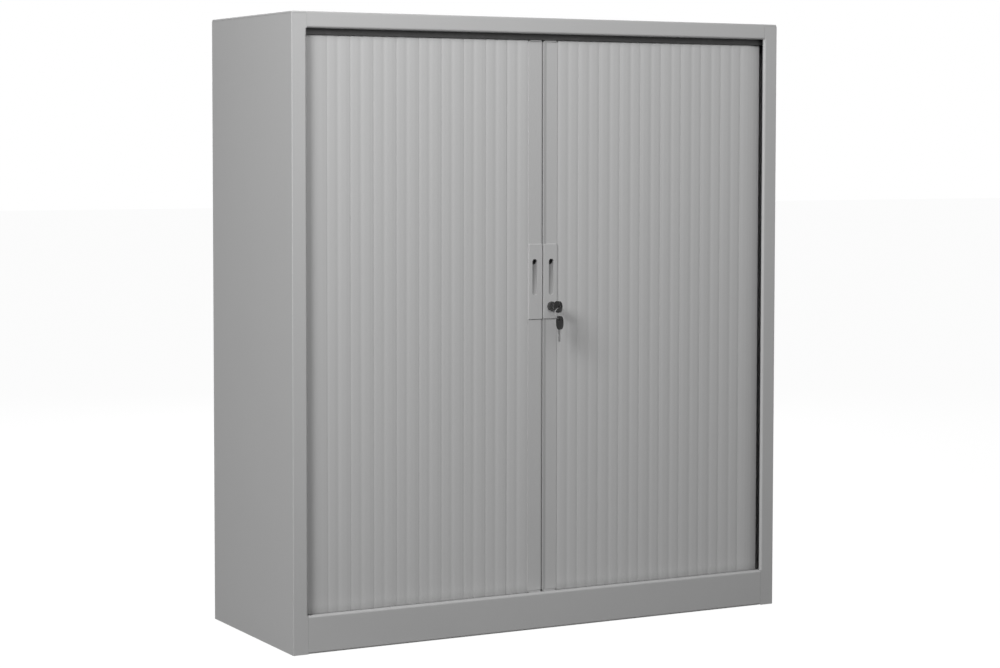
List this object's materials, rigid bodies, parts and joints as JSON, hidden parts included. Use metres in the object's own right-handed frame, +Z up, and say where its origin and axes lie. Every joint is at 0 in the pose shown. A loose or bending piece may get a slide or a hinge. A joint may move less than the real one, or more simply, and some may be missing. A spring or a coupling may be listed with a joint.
{
  "type": "tambour door cabinet",
  "caption": "Upright steel storage cabinet with two side-opening tambour curtains, lead stiles with finger grips, a key lock, inner shelves and a plain plinth.",
  "frame": {"origin": "floor level, at the middle of the bounding box; the hanging key is the foremost point, so the carcass is centred 16.75 mm behind the origin", "axes": "+Z up, +X to the right as seen from the front, -Y to the front (the curtains face -Y)"},
  "size_m": [1.2, 0.4736, 1.33],
  "materials": {
    "body_paint": "fine textured powder coat, light grey, satin",
    "inner_paint": "smooth powder coat, light grey, satin",
    "slat_plastic": "extruded plastic slats, light grey, fine grain",
    "stile_lacquer": "aluminium section with light grey lacquer",
    "handle_plastic": "moulded plastic, light grey, fine grain",
    "track_plastic": "black extruded plastic",
    "rubber": "black rubber",
    "lock_black": "dark grey lacquered die casting",
    "key_plastic": "black moulded bow, nickel plated blade",
    "bare_steel": "zinc plated steel",
    "foot_plastic": "black moulded plastic on a steel spindle"
  },
  "bodies": {
    "carcass": {"back_panel": "body_paint", "base_panel": "body_paint", "bottom_track": "inner_paint", "inner_back_panel": "inner_paint", "left_door_stop": "rubber", "left_liner": "inner_paint", "left_side_panel": "body_paint", "right_door_stop": "rubber", "right_liner": "inner_paint", "right_side_panel": "body_paint", "shelf_1": "inner_paint", "shelf_2": "inner_paint", "shelf_3": "inner_paint", "shelf_bracket_1_left": "bare_steel", "shelf_bracket_1_right": "bare_steel", "shelf_bracket_2_left": "bare_steel", "shelf_bracket_2_right": "bare_steel", "shelf_bracket_3_left": "bare_steel", "shelf_bracket_3_right": "bare_steel", "top_panel": "body_paint", "top_track": "track_plastic"},
    "left_door": {"left_lead_stile": "stile_lacquer", "left_handle": "handle_plastic", "left_top_shoe": "handle_plastic", "left_bottom_shoe": "handle_plastic", "left_slats_01": "slat_plastic", "lock_strike": "bare_steel"},
    "right_door": {"right_lead_stile": "stile_lacquer", "right_handle": "handle_plastic", "right_top_shoe": "handle_plastic", "right_bottom_shoe": "handle_plastic", "right_slats_01": "slat_plastic", "lock_body": "lock_black"},
    "left_slats_02": {"left_slats_02": "slat_plastic"},
    "left_slats_03": {"left_slats_03": "slat_plastic"},
    "left_slats_04": {"left_slats_04": "slat_plastic"},
    "left_slats_05": {"left_slats_05": "slat_plastic"},
    "left_slats_06": {"left_slats_06": "slat_plastic"},
    "left_slats_07": {"left_slats_07": "slat_plastic"},
    "left_slats_08": {"left_slats_08": "slat_plastic"},
    "left_slats_09": {"left_slats_09": "slat_plastic"},
    "left_slats_10": {"left_slats_10": "slat_plastic"},
    "right_slats_02": {"right_slats_02": "slat_plastic"},
    "right_slats_03": {"right_slats_03": "slat_plastic"},
    "right_slats_04": {"right_slats_04": "slat_plastic"},
    "right_slats_05": {"right_slats_05": "slat_plastic"},
    "right_slats_06": {"right_slats_06": "slat_plastic"},
    "right_slats_07": {"right_slats_07": "slat_plastic"},
    "right_slats_08": {"right_slats_08": "slat_plastic"},
    "right_slats_09": {"right_slats_09": "slat_plastic"},
    "right_slats_10": {"right_slats_10": "slat_plastic"},
    "lock_cylinder": {"lock_plug": "bare_steel", "lock_hook": "bare_steel", "key": "key_plastic"},
    "key_ring": {"key_ring": "bare_steel"},
    "spare_key": {"spare_key": "key_plastic"},
    "foot_front_left": {"levelling_foot_front_left": "foot_plastic"},
    "foot_front_right": {"levelling_foot_front_right": "foot_plastic"},
    "foot_rear_left": {"levelling_foot_rear_left": "foot_plastic"},
    "foot_rear_right": {"levelling_foot_rear_right": "foot_plastic"}
  },
  "joints": [
    {"name": "left_door_slide", "type": "slide", "parent": "carcass", "child": "left_door", "axis": [-1, 0, 0], "range_m": [0, 0.5067]},
    {"name": "right_door_slide", "type": "slide", "parent": "carcass", "child": "right_door", "axis": [1, 0, 0], "range_m": [0, 0.5067]},
    {"name": "left_slats_02_slide", "type": "slide", "parent": "carcass", "child": "left_slats_02", "axis": [-0.9992, 0.0405, 0], "range_m": [0, 0.45387]},
    {"name": "left_slats_03_slide", "type": "slide", "parent": "carcass", "child": "left_slats_03", "axis": [-0.9981, 0.0621, 0], "range_m": [0, 0.40107]},
    {"name": "left_slats_04_slide", "type": "slide", "parent": "carcass", "child": "left_slats_04", "axis": [-0.9959, 0.0901, 0], "range_m": [0, 0.34852]},
    {"name": "left_slats_05_slide", "type": "slide", "parent": "carcass", "child": "left_slats_05", "axis": [-0.9918, 0.1279, 0], "range_m": [0, 0.29633]},
    {"name": "left_slats_06_slide", "type": "slide", "parent": "carcass", "child": "left_slats_06", "axis": [-0.9834, 0.1814, 0], "range_m": [0, 0.24476]},
    {"name": "left_slats_07_slide", "type": "slide", "parent": "carcass", "child": "left_slats_07", "axis": [-0.9651, 0.262, 0], "range_m": [0, 0.19429]},
    {"name": "left_slats_08_slide", "type": "slide", "parent": "carcass", "child": "left_slats_08", "axis": [-0.9195, 0.393, 0], "range_m": [0, 0.14605]},
    {"name": "left_slats_09_slide", "type": "slide", "parent": "carcass", "child": "left_slats_09", "axis": [-0.7855, 0.6189, 0], "range_m": [0, 0.10325]},
    {"name": "left_slats_10_slide", "type": "slide", "parent": "carcass", "child": "left_slats_10", "axis": [-0.3684, 0.9297, 0], "range_m": [0, 0.07573]},
    {"name": "right_slats_02_slide", "type": "slide", "parent": "carcass", "child": "right_slats_02", "axis": [0.9992, 0.0405, 0], "range_m": [0, 0.45387]},
    {"name": "right_slats_03_slide", "type": "slide", "parent": "carcass", "child": "right_slats_03", "axis": [0.9981, 0.0621, 0], "range_m": [0, 0.40107]},
    {"name": "right_slats_04_slide", "type": "slide", "parent": "carcass", "child": "right_slats_04", "axis": [0.9959, 0.0901, 0], "range_m": [0, 0.34852]},
    {"name": "right_slats_05_slide", "type": "slide", "parent": "carcass", "child": "right_slats_05", "axis": [0.9918, 0.1279, 0], "range_m": [0, 0.29633]},
    {"name": "right_slats_06_slide", "type": "slide", "parent": "carcass", "child": "right_slats_06", "axis": [0.9834, 0.1814, 0], "range_m": [0, 0.24476]},
    {"name": "right_slats_07_slide", "type": "slide", "parent": "carcass", "child": "right_slats_07", "axis": [0.9651, 0.262, 0], "range_m": [0, 0.19429]},
    {"name": "right_slats_08_slide", "type": "slide", "parent": "carcass", "child": "right_slats_08", "axis": [0.9195, 0.393, 0], "range_m": [0, 0.14605]},
    {"name": "right_slats_09_slide", "type": "slide", "parent": "carcass", "child": "right_slats_09", "axis": [0.7855, 0.6189, 0], "range_m": [0, 0.10325]},
    {"name": "right_slats_10_slide", "type": "slide", "parent": "carcass", "child": "right_slats_10", "axis": [0.3684, 0.9297, 0], "range_m": [0, 0.07573]},
    {"name": "lock_turn", "type": "hinge", "parent": "right_door", "child": "lock_cylinder", "pos_m": [0.0205, -0.19225, 0.7055], "axis": [0, 1, 0], "range_deg": [0, 90]},
    {"name": "key_ring_swing", "type": "hinge", "parent": "lock_cylinder", "child": "key_ring", "pos_m": [0.0205, -0.22425, 0.7039], "axis": [1, 0, 0], "range_deg": [-75, 15]},
    {"name": "spare_key_swing", "type": "hinge", "parent": "key_ring", "child": "spare_key", "pos_m": [0.0205, -0.22425, 0.6799], "axis": [1, 0, 0], "range_deg": [-40, 15]},
    {"name": "foot_front_left_slide", "type": "slide", "parent": "carcass", "child": "foot_front_left", "axis": [0, 0, -1], "range_m": [0, 0.012]},
    {"name": "foot_front_right_slide", "type": "slide", "parent": "carcass", "child": "foot_front_right", "axis": [0, 0, -1], "range_m": [0, 0.012]},
    {"name": "foot_rear_left_slide", "type": "slide", "parent": "carcass", "child": "foot_rear_left", "axis": [0, 0, -1], "range_m": [0, 0.012]},
    {"name": "foot_rear_right_slide", "type": "slide", "parent": "carcass", "child": "foot_rear_right", "axis": [0, 0, -1], "range_m": [0, 0.012]}
  ],
  "couplings": [
    {"joint": "left_slats_02_slide", "follows": "left_door_slide", "ratio": 0.89574},
    {"joint": "left_slats_03_slide", "follows": "left_door_slide", "ratio": 0.79154},
    {"joint": "left_slats_04_slide", "follows": "left_door_slide", "ratio": 0.68782},
    {"joint": "left_slats_05_slide", "follows": "left_door_slide", "ratio": 0.58483},
    {"joint": "left_slats_06_slide", "follows": "left_door_slide", "ratio": 0.48305},
    {"joint": "left_slats_07_slide", "follows": "left_door_slide", "ratio": 0.38343},
    {"joint": "left_slats_08_slide", "follows": "left_door_slide", "ratio": 0.28824},
    {"joint": "left_slats_09_slide", "follows": "left_door_slide", "ratio": 0.20377},
    {"joint": "left_slats_10_slide", "follows": "left_door_slide", "ratio": 0.14945},
    {"joint": "right_slats_02_slide", "follows": "right_door_slide", "ratio": 0.89574},
    {"joint": "right_slats_03_slide", "follows": "right_door_slide", "ratio": 0.79154},
    {"joint": "right_slats_04_slide", "follows": "right_door_slide", "ratio": 0.68782},
    {"joint": "right_slats_05_slide", "follows": "right_door_slide", "ratio": 0.58483},
    {"joint": "right_slats_06_slide", "follows": "right_door_slide", "ratio": 0.48305},
    {"joint": "right_slats_07_slide", "follows": "right_door_slide", "ratio": 0.38343},
    {"joint": "right_slats_08_slide", "follows": "right_door_slide", "ratio": 0.28824},
    {"joint": "right_slats_09_slide", "follows": "right_door_slide", "ratio": 0.20377},
    {"joint": "right_slats_10_slide", "follows": "right_door_slide", "ratio": 0.14945}
  ]
}
